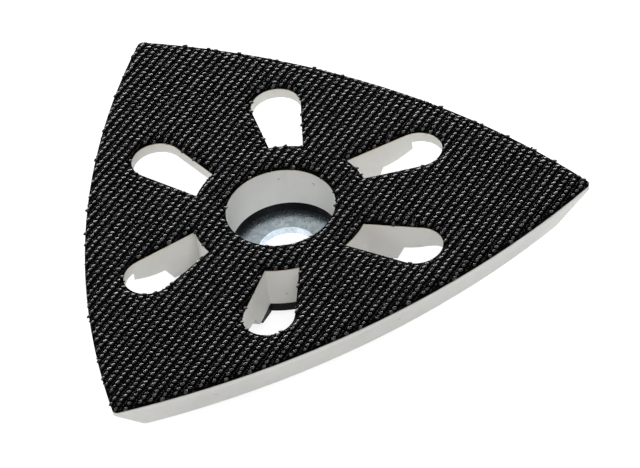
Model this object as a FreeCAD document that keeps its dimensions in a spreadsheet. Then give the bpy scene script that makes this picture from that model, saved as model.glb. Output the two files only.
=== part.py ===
import FreeCAD, Part
import math
import os
import Sketcher

# Triangular sanding pad for a delta sander, in millimetres.
# The pad lies on its back: hook face up, hub down.  Z = 0 is the seat plane of the hub on the
# sander's spindle, and the Z axis runs through the spindle hole.  The front tip points along
# 120 degrees; the three tips stand at 0, 120 and 240 degrees.

doc = FreeCAD.newDocument("sanding_pad")

# ---------------------------------------------------------------- driving dimensions
DIMENSIONS = [
    # outline of the face, seen from above
    ("side_reach", 34.0),         # hub centre to the middle of a side
    ("side_radius", 154.6),       # radius of the slightly bowed sides
    ("tip_radius", 0.9),          # rounding of the three tips at the face
    # moulded body
    ("body_height", 7.6),         # hub face of the body to the glued face
    ("lip_height", 0.7),          # upright lip under the glued face
    ("skirt_depth", 7.9),         # glued face down to the rim of the skirt
    ("skirt_inset", 4.0),         # how far the rim stands in from the face outline
    ("rim_tip_radius", 1.8),      # rounding of the tips at the rim
    ("rim_width", 1.8),           # wall of the skirt at its rim
    ("root_inset", 4.0),          # inner wall of the skirt at the web, in from the face outline
    ("web_thickness", 1.8),       # flat web out to the tips
    ("dish_thickness", 4.8),      # web where the dish meets the hub boss
    ("dish_radius", 30.2),        # where the dish runs out into the flat web
    ("boss_radius", 20.6),        # foot of the hub boss
    ("boss_flare", 1.5),          # how much wider the boss is where it meets the dish
    ("boss_flat", 15.8),          # hub centre to the flat that faces the front tip
    ("rib_half", 0.9),            # half the thickness of a rib
    ("rib_set_back", 1.4),        # rib edge above the rim of the skirt
    ("window_half", 28.0),        # half the length of the air window in each front side
    ("window_lead", 2.7),         # how far it is cut in, so that it takes the whole bowed wall
    # openings through the face
    ("bore_radius", 9.6),         # access bore for the screw head
    ("slot_end_radius", 4.48),    # round outer end of a dust slot
    ("slot_end_reach", 26.6),     # hub centre to the centre of that end
    ("slot_end_angle", 26.9),     # that centre, off the direction of the nearest tip
    ("slot_root_reach", 15.5),    # concentric inner end of a dust slot
    ("slot_near_angle", 21.1),    # inner end, side next to the tip direction
    ("slot_far_angle", 43.5),     # inner end, other side
    ("cut_margin", 1.0),          # how far a cut runs out past the surface it opens
    # layers on the face
    ("glue_thickness", 0.2),
    ("glue_set_back", 0.15),      # glue line behind the cut edge of the cloth
    ("facing_thickness", 0.9),
    # hub
    ("plate_thickness", 1.75),    # carrier plate over the disc
    ("plate_edge", 0.8),          # thickness of its bevelled edge
    ("plate_inset", 1.1),         # the plate's edge behind the foot of the boss
    ("bevel_width", 3.5),         # how far the bevel runs in from that edge
    ("collar_radius", 13.7),      # ring of the carrier plate round the disc
    ("seat_level", 0.0),          # seat plane of the hub
    ("disc_thickness", 1.5),
    ("step_level", 0.75),         # height of the step in the disc's rim
    ("disc_radius", 12.0),        # keyed upper half of the disc
    ("disc_step", 1.0),           # the lower half is smaller by this much
    ("spindle_radius", 5.2),      # hole for the spindle nose
]

sheet = doc.addObject("Spreadsheet::Sheet", "sheet")
for row, (alias, value) in enumerate(DIMENSIONS, start=1):
    sheet.set("A%d" % row, alias)
    sheet.set("B%d" % row, str(value))
    sheet.setAlias("B%d" % row, alias)
doc.recompute()

TIPS = (0, 120, 240)              # directions of the three tips, degrees
SIDES = (60, 180, 300)            # directions of the three sides
FRONT_TIP = 120
REAR_SIDE = 300
DISH_SWEEP = 240                  # the dish leaves out the third of the web towards the front tip
PART_NODES = []


def size(alias):
    return getattr(sheet, alias)


# heights above the hub seat, each the text of an expression
SEAT = "sheet.seat_level"
DISC_STEP = "sheet.step_level"
DISC_TOP = "sheet.disc_thickness"
PLATE_TOP = DISC_TOP + " + sheet.plate_thickness"
BODY_TOP = PLATE_TOP + " + sheet.body_height"
LIP_BOTTOM = BODY_TOP + " - sheet.lip_height"
RIM = BODY_TOP + " - sheet.skirt_depth"
WEB_BOTTOM = BODY_TOP + " - sheet.web_thickness"
DISH_BOTTOM = BODY_TOP + " - sheet.dish_thickness"
GLUE_TOP = BODY_TOP + " + sheet.glue_thickness"
FACE_TOP = GLUE_TOP + " + sheet.facing_thickness"


def evaluate(expression):
    """The value of a sum of sheet cells, for the first place of a point in a sketch."""
    total = 0.0
    sign = 1.0
    for word in expression.split():
        if word in "+-":
            sign = 1.0 if word == "+" else -1.0
        else:
            total += sign * size(word.replace("sheet.", ""))
    return total


# ---------------------------------------------------------------- sketch and body helpers
def new_body(name):
    body = doc.addObject("PartDesign::Body", name)
    body.Label = name
    body.Placement = FreeCAD.Placement()
    PART_NODES.append(body)
    return body


def new_sketch(body, name, role="XY_Plane", level=None):
    """A sketch on one of the body's own origin planes, lifted to a height if one is given."""
    sketch = body.newObject("Sketcher::SketchObject", name)
    plane = [f for f in body.Origin.OriginFeatures if f.Role == role][0]
    sketch.AttachmentSupport = [(plane, "")]
    sketch.MapMode = "FlatFace"
    if level:
        sketch.setExpression("AttachmentOffset.Base.z", level)
    return sketch


def polar(reach, angle):
    turn = math.radians(angle)
    return FreeCAD.Vector(reach * math.cos(turn), reach * math.sin(turn), 0)


def bind(sketch, kind, places, expression, value):
    """One dimension of a sketch, tied to the sheet."""
    index = sketch.addConstraint(Sketcher.Constraint(kind, *places, value))
    sketch.setExpression("Constraints[%d]" % index, expression)


ORIGIN_POINT = (-1, 1)
START, END, CENTRE = 1, 2, 3


def place_point(sketch, geometry, point, across, up, where):
    """Tie a point of a sketch to the sketch's origin by its two coordinates."""
    bind(sketch, "DistanceX", (*ORIGIN_POINT, geometry, point), across, where.x)
    bind(sketch, "DistanceY", (*ORIGIN_POINT, geometry, point), up, where.y)


def arc(centre, radius, start, end):
    """Arc of a circle from one angle to another, anticlockwise, in degrees."""
    circle = Part.Circle(centre, FreeCAD.Vector(0, 0, 1), radius)
    return Part.ArcOfCircle(circle, math.radians(start), math.radians(end))


def outline(body, name, level, inset, tip_radius):
    """The three-sided outline: bowed sides, set in by `inset`, joined by tangent tip arcs."""
    sketch = new_sketch(body, name, level=level)
    inset_value = evaluate(inset) if inset else 0.0
    tip_value = evaluate(tip_radius)
    bow = size("side_radius") - inset_value
    offset = size("side_radius") - size("side_reach")
    # centre of a tip arc, as far along its tip direction as lets it touch both sides
    half = offset * math.cos(math.radians(60))
    tip_reach = math.sqrt((bow - tip_value) ** 2 - (offset ** 2 - half ** 2)) - half
    lean = math.degrees(math.asin(offset * math.sin(math.radians(60)) / (bow - tip_value)))
    for side in SIDES:
        sketch.addGeometry(arc(polar(-offset, side), bow, side - 60 + lean, side + 60 - lean))
        sketch.addGeometry(arc(polar(tip_reach, side + 60), tip_value,
                               side + 60 - lean, side + 60 + lean))
    for number, side in enumerate(SIDES):
        bowed = 2 * number
        tip = bowed + 1
        following = (bowed + 2) % 6
        bind(sketch, "Radius", (bowed,), "sheet.side_radius" + (" - (%s)" % inset if inset else ""), bow)
        place_point(sketch, bowed, CENTRE,
                    "(sheet.side_reach - sheet.side_radius) * cos(%d deg)" % side,
                    "(sheet.side_reach - sheet.side_radius) * sin(%d deg)" % side,
                    polar(-offset, side))
        bind(sketch, "Radius", (tip,), tip_radius, tip_value)
        sketch.addConstraint(Sketcher.Constraint("Tangent", bowed, END, tip, START))
        sketch.addConstraint(Sketcher.Constraint("Tangent", tip, END, following, START))
    return sketch


def slot(sketch, hand):
    """One dust slot beside the tip at 0 degrees; hand 1 lies after that tip, -1 before it."""
    root_reach = size("slot_root_reach")
    end_radius = size("slot_end_radius")
    end_centre = polar(size("slot_end_reach"), hand * size("slot_end_angle"))
    angles = ("slot_near_angle", "slot_far_angle")
    tangents = []
    for turn, alias in zip((-hand, hand), angles):
        root = polar(root_reach, hand * size(alias))
        way = end_centre - root
        lean = turn * math.asin(end_radius / way.Length)
        run = math.sqrt(way.Length ** 2 - end_radius ** 2)
        heading = math.degrees(math.atan2(way.y, way.x) + lean)
        tangents.append((root, root + polar(run, heading)))
    if hand > 0:
        first, last, first_alias, last_alias = tangents[0], tangents[1], angles[0], angles[1]
    else:
        first, last, first_alias, last_alias = tangents[1], tangents[0], angles[1], angles[0]
    first_angle = math.degrees(math.atan2(first[0].y, first[0].x))
    last_angle = math.degrees(math.atan2(last[0].y, last[0].x))
    root_arc = sketch.addGeometry(arc(FreeCAD.Vector(), root_reach, first_angle, last_angle))
    first_side = sketch.addGeometry(Part.LineSegment(first[0], first[1]))
    end_from = math.degrees(math.atan2(first[1].y - end_centre.y, first[1].x - end_centre.x))
    end_to = math.degrees(math.atan2(last[1].y - end_centre.y, last[1].x - end_centre.x))
    end_arc = sketch.addGeometry(arc(end_centre, end_radius, end_from, end_to))
    last_side = sketch.addGeometry(Part.LineSegment(last[1], last[0]))
    join = sketch.addConstraint
    join(Sketcher.Constraint("Coincident", root_arc, CENTRE, *ORIGIN_POINT))
    bind(sketch, "Radius", (root_arc,), "sheet.slot_root_reach", root_reach)
    for point, alias, spot in ((START, first_alias, first[0]), (END, last_alias, last[0])):
        bind(sketch, "DistanceY", (*ORIGIN_POINT, root_arc, point),
             "%d * sheet.slot_root_reach * sin(sheet.%s * 1 deg)" % (hand, alias), spot.y)
    join(Sketcher.Constraint("Coincident", root_arc, START, first_side, START))
    join(Sketcher.Constraint("Tangent", first_side, END, end_arc, START))
    join(Sketcher.Constraint("Tangent", end_arc, END, last_side, START))
    join(Sketcher.Constraint("Coincident", last_side, END, root_arc, END))
    bind(sketch, "Radius", (end_arc,), "sheet.slot_end_radius", end_radius)
    place_point(sketch, end_arc, CENTRE,
                "sheet.slot_end_reach * cos(sheet.slot_end_angle * 1 deg)",
                "%d * sheet.slot_end_reach * sin(sheet.slot_end_angle * 1 deg)" % hand,
                end_centre)


def circle_sketch(body, name, level, radius):
    sketch = new_sketch(body, name, level=level)
    ring = sketch.addGeometry(Part.Circle(FreeCAD.Vector(), FreeCAD.Vector(0, 0, 1), evaluate(radius)))
    sketch.addConstraint(Sketcher.Constraint("Coincident", ring, CENTRE, *ORIGIN_POINT))
    bind(sketch, "Radius", (ring,), radius, evaluate(radius))
    return sketch


def straight_profile(sketch, corners):
    """A closed run of straight edges; each corner is a pair of sheet expressions."""
    spots = [FreeCAD.Vector(evaluate(across), evaluate(up), 0) for across, up in corners]
    for number, spot in enumerate(spots):
        sketch.addGeometry(Part.LineSegment(spot, spots[(number + 1) % len(spots)]))
    for number, (across, up) in enumerate(corners):
        following = (number + 1) % len(corners)
        sketch.addConstraint(Sketcher.Constraint("Coincident", number, END, following, START))
        place_point(sketch, number, START, across, up, spots[number])


def turned_rectangle(body, name, level, direction, reaches, half_width):
    """A rectangle that lies along a direction from the Z axis, between two reaches."""
    sketch = new_sketch(body, name, level=level)
    sketch.AttachmentOffset = FreeCAD.Placement(
        sketch.AttachmentOffset.Base, FreeCAD.Rotation(FreeCAD.Vector(0, 0, 1), direction))
    inner, outer = reaches
    straight_profile(sketch, [(inner, "- " + half_width), (outer, "- " + half_width),
                              (outer, half_width), (inner, half_width)])
    return sketch


def feature(body, kind, name, sketch, **properties):
    """A sketch-based feature; a property given as text is an expression."""
    made = body.newObject("PartDesign::" + kind, name)
    made.Profile = sketch
    for key, value in properties.items():
        if isinstance(value, str) and key in ("Length", "Angle"):
            made.setExpression(key, value)
        else:
            setattr(made, key, value)
    sketch.Visibility = False
    return made


def axis_of(body, role="Z_Axis"):
    return [f for f in body.Origin.OriginFeatures if f.Role == role][0]


def around_hub(body, name, original, count):
    """Repeat a feature round the spindle axis."""
    pattern = body.newObject("PartDesign::PolarPattern", name)
    pattern.Originals = [original]
    pattern.Axis = (axis_of(body), [""])
    pattern.Angle = 360
    pattern.Occurrences = count
    body.Tip = pattern
    return pattern


def face_openings(body, level):
    """The access bore and the six dust slots, cut down through a layer of the pad."""
    feature(body, "Pocket", "access_bore", circle_sketch(body, "bore_edge", level, "sheet.bore_radius"),
            Type="ThroughAll")
    slot_openings(body, level)


def slot_openings(body, level):
    slots = new_sketch(body, "slot_pair", level=level)
    slot(slots, 1)
    slot(slots, -1)
    pair = feature(body, "Pocket", "dust_slots", slots, Type="ThroughAll")
    doc.recompute()
    around_hub(body, "slot_pattern", pair, len(TIPS))


# ---------------------------------------------------------------- chamber core
# The space inside the skirt, as the mould's core would fill it: the dust chamber round the hub
# boss, with grooves for the ribs, blocks that leave the air windows in the front sides and a disc
# that keeps every rib clear of the carrier plate.
def chamber_core():
    body = doc.addObject("PartDesign::Body", "chamber_core")
    top = outline(body, "core_top", WEB_BOTTOM, "sheet.root_inset", "sheet.rim_tip_radius")
    rim = outline(body, "core_rim", RIM, "sheet.skirt_inset + sheet.rim_width", "sheet.rim_tip_radius")
    block = body.newObject("PartDesign::AdditiveLoft", "core_block")
    block.Profile = top
    block.Sections = [rim]
    block.Ruled = True
    feature(body, "Pocket", "boss_hollow", boss_sketch(body, "boss_edge", WEB_BOTTOM),
            Length="sheet.body_height - sheet.web_thickness")
    dish = new_sketch(body, "dish_edge", role="XZ_Plane")
    dish.AttachmentOffset = FreeCAD.Placement(
        FreeCAD.Vector(), FreeCAD.Rotation(FreeCAD.Vector(0, 1, 0), REAR_SIDE))
    dish_profile(dish)
    feature(body, "Groove", "dish_hollow", dish, ReferenceAxis=(dish, ["V_Axis"]), Midplane=True,
            Angle=DISH_SWEEP)
    for direction in TIPS + SIDES:
        groove = turned_rectangle(body, "rib_edge_%d" % direction, WEB_BOTTOM, direction,
                                  ("sheet.bore_radius", "sheet.side_reach + sheet.side_reach"),
                                  "sheet.rib_half")
        feature(body, "Pocket", "rib_hollow_%d" % direction, groove,
                Length="sheet.skirt_depth - sheet.web_thickness - sheet.rib_set_back")
    for direction in SIDES:
        if direction != REAR_SIDE:
            opening = turned_rectangle(
                body, "window_edge_%d" % direction, WEB_BOTTOM, direction,
                ("sheet.side_reach - sheet.skirt_inset - sheet.rim_width - sheet.window_lead",
                 "sheet.side_reach + sheet.cut_margin"), "sheet.window_half")
            feature(body, "Pad", "window_%d" % direction, opening, Reversed=True,
                    Length="sheet.skirt_depth - sheet.web_thickness")
    plate_space = circle_sketch(body, "plate_space_edge", PLATE_TOP, "sheet.boss_radius")
    feature(body, "Pad", "plate_space", plate_space, Reversed=True, Length="sheet.plate_thickness")
    return body


def boss_sketch(body, name, level):
    """The hub boss seen from above: a circle with a flat towards the front tip."""
    sketch = new_sketch(body, name, level=level)
    sketch.AttachmentOffset = FreeCAD.Placement(
        sketch.AttachmentOffset.Base, FreeCAD.Rotation(FreeCAD.Vector(0, 0, 1), FRONT_TIP))
    radius = size("boss_radius")
    flat = size("boss_flat")
    half = math.degrees(math.acos(flat / radius))
    around = sketch.addGeometry(arc(FreeCAD.Vector(), radius, half, 360 - half))
    chord = sketch.addGeometry(Part.LineSegment(polar(radius, -half), polar(radius, half)))
    sketch.addConstraint(Sketcher.Constraint("Coincident", around, CENTRE, *ORIGIN_POINT))
    sketch.addConstraint(Sketcher.Constraint("Coincident", around, END, chord, START))
    sketch.addConstraint(Sketcher.Constraint("Coincident", chord, END, around, START))
    sketch.addConstraint(Sketcher.Constraint("Vertical", chord))
    bind(sketch, "Radius", (around,), "sheet.boss_radius", radius)
    bind(sketch, "DistanceX", (*ORIGIN_POINT, chord, START), "sheet.boss_flat", flat)
    return sketch


def dish_profile(sketch):
    """Half-section of the boss and dished web: a flared foot, then an arc out to the flat web."""
    bore = size("bore_radius")
    foot = size("boss_radius")
    root = foot + size("boss_flare")
    brim = size("dish_radius")
    floor = evaluate(PLATE_TOP)
    low = evaluate(DISH_BOTTOM)
    high = evaluate(WEB_BOTTOM)
    run = brim - root
    rise = high - low
    bend = (run ** 2 + rise ** 2) / (2 * rise)
    sweep = math.degrees(math.asin(run / bend))
    spots = [FreeCAD.Vector(brim, high, 0), FreeCAD.Vector(bore, high, 0),
             FreeCAD.Vector(bore, floor, 0), FreeCAD.Vector(foot, floor, 0), FreeCAD.Vector(root, low, 0)]
    for here, there in zip(spots, spots[1:]):
        sketch.addGeometry(Part.LineSegment(here, there))
    curve = sketch.addGeometry(arc(FreeCAD.Vector(root, low + bend, 0), bend, -90, sweep - 90))
    for edge, following in ((0, 1), (1, 2), (2, 3), (3, curve)):
        sketch.addConstraint(Sketcher.Constraint("Coincident", edge, END, following, START))
    sketch.addConstraint(Sketcher.Constraint("Coincident", curve, END, 0, START))
    root_reach = "sheet.boss_radius + sheet.boss_flare"
    bind(sketch, "DistanceX", (*ORIGIN_POINT, curve, CENTRE), root_reach, root)
    place_point(sketch, 0, START, "sheet.dish_radius", WEB_BOTTOM, spots[0])
    place_point(sketch, 0, END, "sheet.bore_radius", WEB_BOTTOM, spots[1])
    place_point(sketch, 1, END, "sheet.bore_radius", PLATE_TOP, spots[2])
    place_point(sketch, 2, END, "sheet.boss_radius", PLATE_TOP, spots[3])
    place_point(sketch, 3, END, root_reach, DISH_BOTTOM, spots[4])


# ---------------------------------------------------------------- pad body
# One white moulding: upright lip, bevelled skirt, web with the dust slots, hub boss and ribs.
def pad_body():
    core = chamber_core()
    body = new_body("pad_body")
    lip = outline(body, "lip_edge", LIP_BOTTOM, "", "sheet.tip_radius")
    feature(body, "Pad", "lip", lip, Length="sheet.lip_height")
    shoulder = outline(body, "shoulder_edge", LIP_BOTTOM, "", "sheet.tip_radius")
    rim = outline(body, "rim_edge", RIM, "sheet.skirt_inset", "sheet.rim_tip_radius")
    skirt = body.newObject("PartDesign::AdditiveLoft", "skirt")
    skirt.Profile = shoulder
    skirt.Sections = [rim]
    skirt.Ruled = True
    doc.recompute()
    hollow = body.newObject("PartDesign::Boolean", "dust_chamber")
    hollow.Type = "Cut"
    hollow.setObjects([core])
    doc.recompute()
    body.Tip = hollow
    face_openings(body, BODY_TOP)


# ---------------------------------------------------------------- layers on the face
# A film of contact glue, then the hook cloth that grips the abrasive sheet.
def glue_film():
    body = new_body("glue_film")
    edge = outline(body, "film_edge", BODY_TOP, "sheet.glue_set_back", "sheet.tip_radius")
    feature(body, "Pad", "film", edge, Length="sheet.glue_thickness")
    face_openings(body, GLUE_TOP)


def hook_facing():
    body = new_body("hook_facing")
    edge = outline(body, "cloth_edge", GLUE_TOP, "", "sheet.tip_radius")
    feature(body, "Pad", "cloth", edge, Length="sheet.facing_thickness")
    face_openings(body, FACE_TOP)


# ---------------------------------------------------------------- hub
# The black carrier plate backs the boss and grips the keyed rim of the steel disc.  Its
# underside is bevelled towards the edge.
def hub_plate():
    body = new_body("hub_plate")
    section = new_sketch(body, "plate_section", role="XZ_Plane")
    keyed = "sheet.disc_radius"
    stepped = "sheet.disc_radius - sheet.disc_step"
    edge = "sheet.boss_radius - sheet.plate_inset"
    straight_profile(section, [
        ("sheet.bore_radius", DISC_TOP), (keyed, DISC_TOP), (keyed, DISC_STEP), (stepped, DISC_STEP),
        (stepped, SEAT), ("sheet.collar_radius", SEAT), ("sheet.collar_radius", DISC_TOP),
        (edge + " - sheet.bevel_width", DISC_TOP), (edge, PLATE_TOP + " - sheet.plate_edge"),
        (edge, PLATE_TOP), ("sheet.bore_radius", PLATE_TOP)])
    feature(body, "Revolution", "plate", section, ReferenceAxis=(section, ["V_Axis"]), Angle=360)
    flat = turned_rectangle(body, "flat_edge", PLATE_TOP, FRONT_TIP,
                            ("sheet.boss_flat", "sheet.boss_radius + sheet.cut_margin"),
                            "sheet.boss_radius")
    feature(body, "Pocket", "front_flat", flat, Type="ThroughAll")
    slot_openings(body, PLATE_TOP)


def hub_disc():
    body = new_body("hub_disc")
    section = new_sketch(body, "disc_section", role="XZ_Plane")
    hole = "sheet.spindle_radius"
    stepped = "sheet.disc_radius - sheet.disc_step"
    straight_profile(section, [
        (hole, SEAT), (stepped, SEAT), (stepped, DISC_STEP), ("sheet.disc_radius", DISC_STEP),
        ("sheet.disc_radius", DISC_TOP), (hole, DISC_TOP)])
    feature(body, "Revolution", "disc", section, ReferenceAxis=(section, ["V_Axis"]), Angle=360)


# ---------------------------------------------------------------- build, check and write
def main():
    for make in (pad_body, glue_film, hook_facing, hub_plate, hub_disc):
        make()
    doc.recompute()
    faults = [item.Name for item in doc.Objects if {"Invalid", "Error"} & set(item.State)]
    if faults:
        raise RuntimeError("not built: " + ", ".join(faults))
    os.makedirs("parts", exist_ok=True)
    for node in PART_NODES:
        shape = node.Shape
        if shape.isNull() or not shape.isValid():
            raise RuntimeError("bad shape: " + node.Label)
        print(node.Label, "volume %.1f mm3," % shape.Volume, len(shape.Solids), "solid")
        shape.exportStep("parts/" + node.Label + ".step")


main()
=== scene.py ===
import math
import random

import bpy
import numpy as np
from mathutils import Matrix, Vector
from mathutils.bvhtree import BVHTree
from mathutils.kdtree import KDTree


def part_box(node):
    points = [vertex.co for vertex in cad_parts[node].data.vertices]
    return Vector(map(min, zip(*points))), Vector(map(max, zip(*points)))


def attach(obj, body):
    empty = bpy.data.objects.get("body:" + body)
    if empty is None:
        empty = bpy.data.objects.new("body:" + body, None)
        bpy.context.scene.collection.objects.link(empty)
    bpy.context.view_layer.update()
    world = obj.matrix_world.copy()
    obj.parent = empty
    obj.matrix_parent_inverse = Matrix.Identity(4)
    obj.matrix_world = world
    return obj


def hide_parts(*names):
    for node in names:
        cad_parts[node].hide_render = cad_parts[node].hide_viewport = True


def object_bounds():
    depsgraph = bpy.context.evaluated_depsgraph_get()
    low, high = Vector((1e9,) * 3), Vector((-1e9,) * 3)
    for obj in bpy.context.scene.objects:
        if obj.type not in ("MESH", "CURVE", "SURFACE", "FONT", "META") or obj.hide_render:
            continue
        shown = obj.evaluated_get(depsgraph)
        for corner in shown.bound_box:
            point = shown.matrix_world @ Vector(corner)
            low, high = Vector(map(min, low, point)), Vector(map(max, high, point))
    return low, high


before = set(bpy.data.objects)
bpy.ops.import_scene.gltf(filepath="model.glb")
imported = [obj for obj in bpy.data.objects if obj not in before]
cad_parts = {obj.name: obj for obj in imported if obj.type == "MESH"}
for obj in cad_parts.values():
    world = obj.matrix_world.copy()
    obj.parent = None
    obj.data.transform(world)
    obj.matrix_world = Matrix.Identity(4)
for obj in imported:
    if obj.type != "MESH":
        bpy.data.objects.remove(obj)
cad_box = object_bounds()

scene = bpy.context.scene
scene.view_settings.view_transform = "Standard"
MM = 0.001

# ------------------------------------------------------------------ viewpoint
# The pad lies on its back and is seen from about the height of a person at a bench: 43 degrees
# above its face, nearly along +Y, with a long lens and the head tilted a little to the left.
face_low, face_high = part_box("hook_facing")
look_at = Vector((6.96 * MM, -7.23 * MM, face_low.z))
view_azimuth = math.radians(7.30)
view_elevation = math.radians(43.32)
view_roll = math.radians(9.38)
view_distance = 0.707

view_from = look_at + view_distance * Vector((
    math.cos(view_elevation) * math.sin(view_azimuth),
    -math.cos(view_elevation) * math.cos(view_azimuth),
    math.sin(view_elevation)))
eye = bpy.data.objects.new("eye", bpy.data.cameras.new("eye"))
scene.collection.objects.link(eye)
turn = (look_at - view_from).to_track_quat("-Z", "Y").to_matrix().to_4x4()
eye.matrix_world = Matrix.Translation(view_from) @ turn @ Matrix.Rotation(-view_roll, 4, "Z")
eye.data.sensor_width = 36.0
eye.data.lens = 232.0
eye.data.clip_start = 0.05
eye.data.clip_end = 20.0
scene.camera = eye

# ------------------------------------------------------------------ bench top and light
# A plain white bench top under the pad, a bright room around it and four large soft lamps:
# two behind that rake the cloth, one broad fill in front and one from the left.
def tree_of(material):
    material.use_nodes = True
    tree = material.node_tree
    tree.nodes.clear()
    return tree, tree.nodes, tree.links


def seen_directly(tree):
    """1 for rays that come from the camera, a mirror or a clear piece, 0 for the rest."""
    path = tree.nodes.new("ShaderNodeLightPath")
    first = tree.nodes.new("ShaderNodeMath")
    first.operation = "MAXIMUM"
    tree.links.new(path.outputs["Is Camera Ray"], first.inputs[0])
    tree.links.new(path.outputs["Is Glossy Ray"], first.inputs[1])
    both = tree.nodes.new("ShaderNodeMath")
    both.operation = "MAXIMUM"
    tree.links.new(first.outputs[0], both.inputs[0])
    tree.links.new(path.outputs["Is Transmission Ray"], both.inputs[1])
    return both.outputs[0]


bench_mesh = bpy.data.meshes.new("bench_top")
reach = 6.0
bench_mesh.from_pydata([(-reach, -reach, 0), (reach, -reach, 0), (reach, reach, 0), (-reach, reach, 0)],
                       [], [(0, 1, 2, 3)])
bench = bpy.data.objects.new("bench_top", bench_mesh)
bench.location.z = cad_box[0][2] - 0.05 * MM
scene.collection.objects.link(bench)

bench_paint = bpy.data.materials.new("bench_paint")
tree, nodes, links = tree_of(bench_paint)
paint = nodes.new("ShaderNodeBsdfDiffuse")
paint.inputs["Color"].default_value = (0.30, 0.30, 0.30, 1)
glow = nodes.new("ShaderNodeEmission")
glow.inputs["Color"].default_value = (1, 1, 1, 1)
glow.inputs["Strength"].default_value = 0.86
choose = nodes.new("ShaderNodeMixShader")
links.new(seen_directly(tree), choose.inputs[0])
add = nodes.new("ShaderNodeAddShader")
links.new(paint.outputs[0], add.inputs[0])
links.new(glow.outputs[0], add.inputs[1])
plain = nodes.new("ShaderNodeBsdfDiffuse")
plain.inputs["Color"].default_value = (0.8, 0.8, 0.8, 1)
links.new(plain.outputs[0], choose.inputs[1])
links.new(add.outputs[0], choose.inputs[2])
out = nodes.new("ShaderNodeOutputMaterial")
links.new(choose.outputs[0], out.inputs["Surface"])
bench_mesh.materials.append(bench_paint)

room = bpy.data.worlds.new("room")
scene.world = room
room.use_nodes = True
room.node_tree.nodes.clear()
sky = room.node_tree.nodes.new("ShaderNodeBackground")
sky.inputs["Color"].default_value = (1, 1, 1, 1)
strength = room.node_tree.nodes.new("ShaderNodeMix")
strength.inputs["A"].default_value = 0.30
strength.inputs["B"].default_value = 1.0
path = room.node_tree.nodes.new("ShaderNodeLightPath")
room.node_tree.links.new(path.outputs["Is Camera Ray"], strength.inputs["Factor"])
room.node_tree.links.new(strength.outputs["Result"], sky.inputs["Strength"])
room_out = room.node_tree.nodes.new("ShaderNodeOutputWorld")
room.node_tree.links.new(sky.outputs[0], room_out.inputs["Surface"])


def soft_lamp(name, place, width, height, power):
    lamp = bpy.data.lights.new(name, "AREA")
    lamp.shape = "RECTANGLE"
    lamp.size = width
    lamp.size_y = height
    lamp.energy = power
    made = bpy.data.objects.new(name, lamp)
    made.location = place
    made.rotation_euler = (Vector((0, 0, face_low.z)) - Vector(place)).to_track_quat("-Z", "Y").to_euler()
    scene.collection.objects.link(made)
    return made


soft_lamp("low_back_softbox", (-0.05, 0.85, 0.17), 1.5, 0.28, 22.0)
soft_lamp("high_back_softbox", (-0.42, 0.58, 0.60), 0.5, 0.34, 1.1)
soft_lamp("front_fill", (0.3, -0.62, 1.0), 0.9, 0.7, 7.5)
soft_lamp("left_fill", (-0.9, -0.25, 0.5), 0.6, 0.5, 2.2)


# ------------------------------------------------------------------ pad body
# The off-white moulding: lip, bevelled skirt, web and hub boss in one piece, cast in a mould.
# Its skin is satin, with faint mottling and a few dark pits where bubbles reached the wall.
def shader_group(name, inputs, outputs):
    """A node group with named value sockets; returns the group, its input and output nodes."""
    group = bpy.data.node_groups.new(name, "ShaderNodeTree")
    for label, kind, default in inputs:
        socket = group.interface.new_socket(label, in_out="INPUT", socket_type=kind)
        socket.default_value = default
    for label, kind in outputs:
        group.interface.new_socket(label, in_out="OUTPUT", socket_type=kind)
    return group, group.nodes.new("NodeGroupInput"), group.nodes.new("NodeGroupOutput")


def noise(tree, scale, detail=3.0, roughness=0.5, vector=None):
    node = tree.nodes.new("ShaderNodeTexNoise")
    node.inputs["Scale"].default_value = scale
    node.inputs["Detail"].default_value = detail
    node.inputs["Roughness"].default_value = roughness
    if vector is None:
        vector = tree.nodes.new("ShaderNodeTexCoord").outputs["Object"]
    tree.links.new(vector, node.inputs["Vector"])
    return node.outputs["Fac"]


def span(tree, value, low, high, to_low=0.0, to_high=1.0):
    """Stretch a value from one range to another, held at both ends."""
    node = tree.nodes.new("ShaderNodeMapRange")
    for key, number in (("From Min", low), ("From Max", high), ("To Min", to_low), ("To Max", to_high)):
        if isinstance(number, (int, float)):
            node.inputs[key].default_value = number
        else:
            tree.links.new(number, node.inputs[key])
    tree.links.new(value, node.inputs["Value"])
    return node.outputs["Result"]


def blend(tree, factor, first, second, way="MIX"):
    """Mix two colours; each is a socket or an RGB triple."""
    node = tree.nodes.new("ShaderNodeMix")
    node.data_type = "RGBA"
    node.blend_type = way
    ends = [socket for socket in node.inputs if socket.type == "RGBA"]
    for end, colour in zip(ends, (first, second)):
        if isinstance(colour, tuple):
            end.default_value = (*colour, 1)
        else:
            tree.links.new(colour, end)
    if isinstance(factor, (int, float)):
        node.inputs["Factor"].default_value = factor
    else:
        tree.links.new(factor, node.inputs["Factor"])
    return [socket for socket in node.outputs if socket.type == "RGBA"][0]


def bumped(tree, height, strength, distance):
    node = tree.nodes.new("ShaderNodeBump")
    node.inputs["Strength"].default_value = strength
    node.inputs["Distance"].default_value = distance
    tree.links.new(height, node.inputs["Height"])
    return node.outputs["Normal"]


def finished(tree, **sockets):
    """A Principled shader with its sockets set or linked, joined to the material's output."""
    shader = tree.nodes.new("ShaderNodeBsdfPrincipled")
    for key, value in sockets.items():
        socket = shader.inputs[key.replace("_", " ")]
        if hasattr(value, "is_linked"):
            tree.links.new(value, socket)
        elif isinstance(value, tuple):
            socket.default_value = (*value, 1)
        else:
            socket.default_value = value
    out = tree.nodes.new("ShaderNodeOutputMaterial")
    tree.links.new(shader.outputs[0], out.inputs["Surface"])
    return shader


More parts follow.
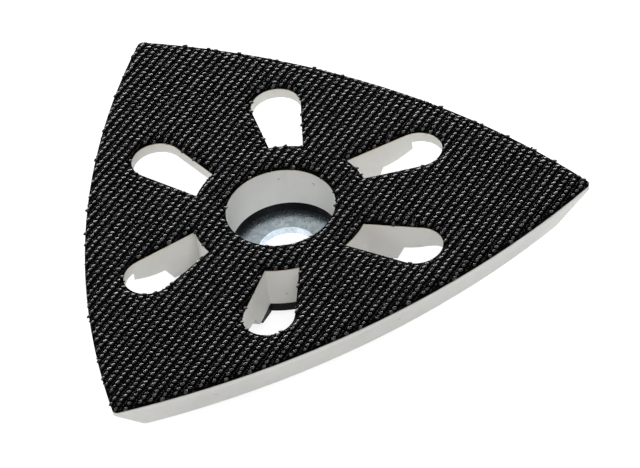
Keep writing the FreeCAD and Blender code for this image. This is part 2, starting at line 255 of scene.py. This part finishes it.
# Moulded skin: fine grain, slow mottling and round pits, for both plastics.
skin, skin_in, skin_out = shader_group(
    "moulded_skin",
    [("Colour", "NodeSocketColor", (0.7, 0.7, 0.7, 1)), ("Pit Colour", "NodeSocketColor", (0.1, 0.1, 0.1, 1)),
     ("Mottling", "NodeSocketFloat", 0.1), ("Pits", "NodeSocketFloat", 1.0)],
    [("Colour", "NodeSocketColor"), ("Roughness", "NodeSocketFloat"), ("Height", "NodeSocketFloat")])
slow = noise(skin, 90.0, 4.0, 0.55)
shade = span(skin, slow, 0.3, 0.7)
mottle = blend(skin, shade, (0.72, 0.72, 0.72), (1.2, 1.2, 1.2))
toned = blend(skin, skin_in.outputs["Mottling"], skin_in.outputs["Colour"],
              blend(skin, 1.0, skin_in.outputs["Colour"], mottle, "MULTIPLY"))
cells = skin.nodes.new("ShaderNodeTexVoronoi")
cells.inputs["Scale"].default_value = 420.0
skin.links.new(skin.nodes.new("ShaderNodeTexCoord").outputs["Object"], cells.inputs["Vector"])
chance = span(skin, noise(skin, 310.0, 2.0), 0.60, 0.68)
pit = skin.nodes.new("ShaderNodeMath")
pit.operation = "MULTIPLY"
skin.links.new(span(skin, cells.outputs["Distance"], 0.10, 0.20, 1.0, 0.0), pit.inputs[0])
skin.links.new(chance, pit.inputs[1])
pit_mask = skin.nodes.new("ShaderNodeMath")
pit_mask.operation = "MULTIPLY"
skin.links.new(pit.outputs[0], pit_mask.inputs[0])
skin.links.new(skin_in.outputs["Pits"], pit_mask.inputs[1])
pitted = blend(skin, pit_mask.outputs[0], toned, skin_in.outputs["Pit Colour"])
skin.links.new(pitted, skin_out.inputs["Colour"])
skin.links.new(span(skin, noise(skin, 700.0, 3.0), 0.3, 0.7, 0.42, 0.58), skin_out.inputs["Roughness"])
grain = noise(skin, 2600.0, 2.0)
depth = skin.nodes.new("ShaderNodeMath")
depth.operation = "SUBTRACT"
skin.links.new(grain, depth.inputs[0])
skin.links.new(pit_mask.outputs[0], depth.inputs[1])
skin.links.new(depth.outputs[0], skin_out.inputs["Height"])


def moulded(name, colour, pit_colour, mottling, pits, gloss=0.5):
    material = bpy.data.materials.new(name)
    tree, nodes, links = tree_of(material)
    used = nodes.new("ShaderNodeGroup")
    used.node_tree = skin
    used.inputs["Colour"].default_value = (*colour, 1)
    used.inputs["Pit Colour"].default_value = (*pit_colour, 1)
    used.inputs["Mottling"].default_value = mottling
    used.inputs["Pits"].default_value = pits
    finished(tree, Base_Color=used.outputs["Colour"], Roughness=used.outputs["Roughness"],
             Specular_IOR_Level=gloss, Normal=bumped(tree, used.outputs["Height"], 0.25, 0.00006))
    return material


def wear(node, material):
    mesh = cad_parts[node].data
    mesh.materials.clear()
    mesh.materials.append(material)
    for polygon in mesh.polygons:
        polygon.material_index = 0


wear("pad_body", moulded("off_white_moulding", (0.74, 0.735, 0.71), (0.30, 0.28, 0.25), 0.25, 0.8))

# ------------------------------------------------------------------ hub plate
# The black carrier under the boss, moulded in glass-filled plastic.
# Its collar grips the keyed rim of the steel disc.
wear("hub_plate", moulded("black_carrier", (0.002, 0.002, 0.0024), (0.008, 0.008, 0.008), 0.3, 0.3, 0.08))

# ------------------------------------------------------------------ hub disc
# A punched steel disc that the spindle seats on, held in the carrier plate by its keyed rim.
# It is zinc plated: blue-grey, mottled, a little rough, brighter where polished.
zinc = bpy.data.materials.new("zinc_plate")
tree, nodes, links = tree_of(zinc)
clouds = noise(tree, 650.0, 6.0, 0.65)
specks = noise(tree, 3200.0, 3.0, 0.7)
patina = blend(tree, span(tree, clouds, 0.35, 0.65), (0.44, 0.54, 0.62), (0.80, 0.89, 0.96))
patina = blend(tree, span(tree, specks, 0.52, 0.75, 0.0, 0.55), patina, (0.86, 0.90, 0.94))
finished(tree, Base_Color=patina, Metallic=1.0, Roughness=span(tree, clouds, 0.3, 0.7, 0.34, 0.20),
         Normal=bumped(tree, specks, 0.35, 0.00008))
wear("hub_disc", zinc)

# ------------------------------------------------------------------ glue film
# Contact glue between the moulding and the cloth, spread over the whole face.
# It shows only as a thin amber line at the cut edge.
glue = bpy.data.materials.new("amber_glue")
tree, nodes, links = tree_of(glue)
streak = span(tree, noise(tree, 900.0, 3.0), 0.35, 0.7)
finished(tree, Base_Color=blend(tree, streak, (0.62, 0.52, 0.38), (0.80, 0.72, 0.58)),
         Roughness=span(tree, noise(tree, 1500.0), 0.3, 0.7, 0.35, 0.6),
         Normal=bumped(tree, streak, 0.3, 0.00005))
wear("glue_film", glue)

# ------------------------------------------------------------------ hook cloth
# Black woven hook cloth, punched out with the pad's outline: a thin backing with straight wales
# of moulded hook heads, a tall head every millimetre and a low loop between wales.
wale_pitch = 1.46 * MM        # from one wale of heads to the next
head_pitch = 1.04 * MM        # along a wale
wale_angle = math.radians(60)
backing_thickness = 0.28 * MM
head_length = 0.94 * MM
head_width = 0.56 * MM
head_cap = 0.24 * MM
head_slant = math.radians(-28)   # heads lie across the wale at this angle
head_foot = 0.30 * MM
loop_length = 0.40 * MM
loop_width = 0.30 * MM
loop_cap = 0.14 * MM
edge_margin = 0.12 * MM       # heads nearer the cut edge than this are cut away
dip_reach = 3.0 * MM          # the punch pulls the cloth down this far in from a cut
punch_tilt = 0.62             # lean of a head right at a cut, in radians
punch_drop = 0.22 * MM        # how far the cloth is pulled down right at a cut
tall_head = 1.08              # every other head along a wale is taller
short_head = 0.94
cloth_reach = 60 * MM         # the lattice covers this far from the hub
head_seed = 11
loop_seed = 12

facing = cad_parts["hook_facing"]
facing_tree = BVHTree.FromPolygons([v.co for v in facing.data.vertices],
                                   [tuple(p.vertices) for p in facing.data.polygons])


def cut_edges():
    """Points every quarter millimetre along the cut edges of the cloth, seen from above."""
    spots = []
    for edge in facing.data.edges:
        here, there = (facing.data.vertices[i].co for i in edge.vertices)
        level = min(here.z, there.z) > face_high.z - 0.01 * MM
        if not level:
            continue
        middle = (here + there) / 2
        along = (there - here).normalized()
        aside = Vector((-along.y, along.x, 0)) * 0.03 * MM
        inside = [facing_tree.ray_cast(middle + way + Vector((0, 0, 0.01)), Vector((0, 0, -1)), 0.012)[0]
                  for way in (aside, -aside)]
        if all(inside):
            continue
        steps = max(1, int((there - here).length / (0.25 * MM)))
        spots += [here.lerp(there, step / steps) for step in range(steps + 1)]
    tree = KDTree(len(spots))
    for number, spot in enumerate(spots):
        tree.insert((spot.x, spot.y, 0), number)
    tree.balance()
    return tree


edges = cut_edges()


def lattice(shift_across, shift_along, pitch):
    """Places of the heads or loops on the cloth, with their distance from the nearest cut."""
    across = Vector((math.cos(wale_angle + math.pi / 2), math.sin(wale_angle + math.pi / 2), 0))
    along = Vector((math.cos(wale_angle), math.sin(wale_angle), 0))
    rows = int(cloth_reach / wale_pitch)
    steps = int(cloth_reach / pitch)
    found = []
    for row in range(-rows, rows + 1):
        for step in range(-steps, steps + 1):
            spot = across * (row + shift_across) * wale_pitch + along * (step + shift_along) * pitch
            hit = facing_tree.ray_cast(spot + Vector((0, 0, 1)), Vector((0, 0, -1)))[0]
            if hit is None or hit.z < face_high.z - 0.1 * MM:
                continue
            near, _, gap = edges.find((spot.x, spot.y, 0))
            if gap > edge_margin:
                found.append((spot, step, gap, (Vector((near.x, near.y, 0)) - spot).normalized()))
    return found


def head_rings(length, width, cap, floor_drop, segments, rings):
    """One head about its own centre: a domed cap, an undercut below it and a narrower foot."""
    verts = [(0, 0, cap)]
    for radius, height in rings:
        for number in range(segments):
            angle = 2 * math.pi * (number + 0.5) / segments
            verts.append((radius * length / 2 * math.cos(angle), radius * width / 2 * math.sin(angle),
                          height * cap if height >= 0 else height * floor_drop))
    faces = [(0, 1 + n, 1 + (n + 1) % segments) for n in range(segments)]
    for ring in range(len(rings) - 1):
        base = 1 + ring * segments
        for n in range(segments):
            m = (n + 1) % segments
            faces.append((base + n, base + segments + n, base + segments + m, base + m))
    return np.array(verts), faces


def planted(name, places, shape, level, size_spread, lean_spread, material, seed):
    """Plant one head at every place, each turned, sized and leaned a little by its own luck."""
    luck = random.Random(seed)
    pattern, faces = shape
    all_verts = np.empty((len(places) * len(pattern), 3))
    all_faces = []
    for number, (spot, step, gap, outward) in enumerate(places):
        turn = Matrix.Rotation(wale_angle + head_slant + luck.gauss(0, 0.10), 3, "Z")
        lean = Matrix.Rotation(luck.gauss(0, lean_spread), 3, "X")
        lean = lean @ Matrix.Rotation(luck.gauss(0, lean_spread), 3, "Y")
        dip = max(0.0, 1 - gap / dip_reach)
        tilt = Matrix.Rotation(punch_tilt * dip ** 1.2, 3, Vector((-outward.y, outward.x, 0)))
        size = 1 + luck.gauss(0, size_spread)
        taller = tall_head if step % 2 == 0 else short_head
        frame_of = np.array(tilt @ turn @ lean)
        scaled = pattern * np.array([size, size, size * taller])
        jitter = Vector((luck.gauss(0, 0.03), luck.gauss(0, 0.03), 0)) * MM * (1 + 2.5 * dip ** 2)
        at = np.array(spot + jitter + Vector((0, 0, level - punch_drop * dip ** 3)))
        start = number * len(pattern)
        all_verts[start:start + len(pattern)] = scaled @ frame_of.T + at
        all_faces += [tuple(start + i for i in face) for face in faces]
    mesh = bpy.data.meshes.new(name)
    mesh.from_pydata(all_verts.tolist(), [], all_faces)
    mesh.polygons.foreach_set("use_smooth", [True] * len(mesh.polygons))
    mesh.materials.append(material)
    made = bpy.data.objects.new(name, mesh)
    scene.collection.objects.link(made)
    return made


def black_yarn(name, colour, gloss, shine):
    material = bpy.data.materials.new(name)
    tree, nodes, links = tree_of(material)
    own = noise(tree, 1100.0, 2.0)
    fibre = noise(tree, 5200.0, 2.0, 0.6)
    darker = tuple(0.6 * part for part in colour)
    lighter = tuple(1.6 * part for part in colour)
    tone = blend(tree, span(tree, own, 0.35, 0.65), darker, lighter)
    finished(tree, Base_Color=tone, Roughness=span(tree, own, 0.3, 0.7, gloss - 0.08, gloss + 0.12),
             Specular_IOR_Level=shine,
             Normal=bumped(tree, fibre, 0.5, 0.00006))
    return material


backing_mesh = facing.data.copy()
backing_mesh.name = "cloth_backing"
for vertex in backing_mesh.vertices:
    if vertex.co.z > (face_low.z + face_high.z) / 2:
        vertex.co.z = face_low.z + backing_thickness
backing_mesh.materials.clear()
# The backing gets the heads' black yarn coloured far darker and duller: painted shade in the gaps between the
# heads.
backing_mesh.materials.append(black_yarn("backing_weave_painted_shade", (0.0008, 0.0008, 0.001), 0.85, 0.02))
backing = bpy.data.objects.new("cloth_backing", backing_mesh)
scene.collection.objects.link(backing)

backing_top = face_low.z + backing_thickness
head_level = backing_top + head_foot
heads = planted("hook_heads", lattice(0, 0, head_pitch),
                head_rings(head_length, head_width, head_cap, head_foot, 8,
                           [(0.58, 0.95), (0.86, 0.74), (1.0, 0.20), (0.66, -1.0)]),
                head_level, 0.06, 0.13,
                black_yarn("hook_heads", (0.005, 0.005, 0.0055), 0.27, 0.5), head_seed)
# The low loops get the heads' black yarn coloured darker and duller: painted shade where they sit low between
# the wales.
loops = planted("low_loops", lattice(0.5, 0.5, head_pitch / 2),
                head_rings(loop_length, loop_width, loop_cap, loop_cap, 6,
                           [(0.60, 0.80), (1.0, 0.20), (0.9, -1.0)]),
                backing_top + loop_cap, 0.10, 0.22,
                black_yarn("low_loops", (0.002, 0.002, 0.0025), 0.42, 0.22), loop_seed)

for piece in (backing, heads, loops):
    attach(piece, "root")
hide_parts("hook_facing")
